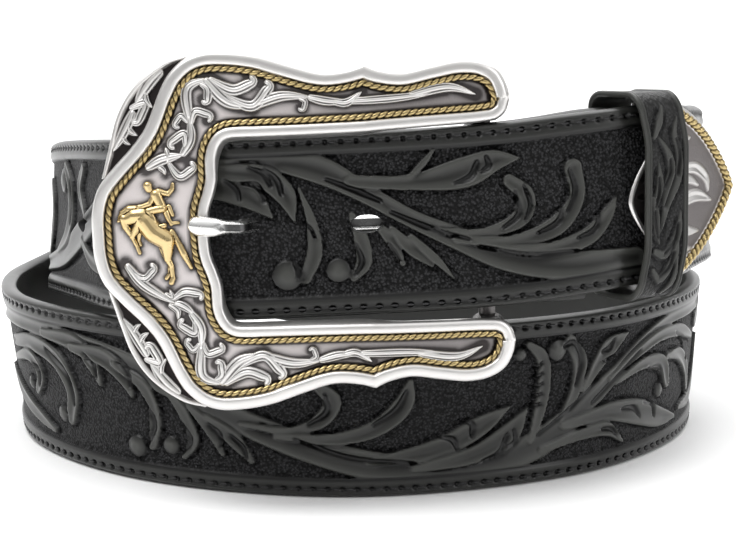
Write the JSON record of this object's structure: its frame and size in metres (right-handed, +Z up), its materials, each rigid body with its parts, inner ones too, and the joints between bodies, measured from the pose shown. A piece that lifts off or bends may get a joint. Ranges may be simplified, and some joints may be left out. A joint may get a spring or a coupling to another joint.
{
  "type": "western tooled belt",
  "caption": "Coiled leather belt with an open-ended horseshoe buckle, heel bar, prong, leather keeper and pointed metal tip, fastened and standing on its edge.",
  "frame": {"origin": "centre of the bounding box's base, on the surface the belt stands on", "axes": "+Z up, -Y towards the buckle's front and the camera, +X to the right as the buckle is seen"},
  "size_m": [0.1892, 0.2068, 0.0977],
  "materials": {
    "strap_leather": "satin",
    "tip_metal": "polished",
    "keeper_leather": "satin",
    "buckle_metal": "polished",
    "prong_metal": "polished",
    "screw_metal": "satin",
    "gold_trim": "polished"
  },
  "bodies": {
    "root": {"strap": "strap_leather", "metal_tip": "tip_metal", "keeper": "keeper_leather", "buckle_frame": "buckle_metal", "prong": "prong_metal", "fold_screw_upper": "screw_metal", "fold_screw_lower": "screw_metal"}
  },
  "joints": []
}
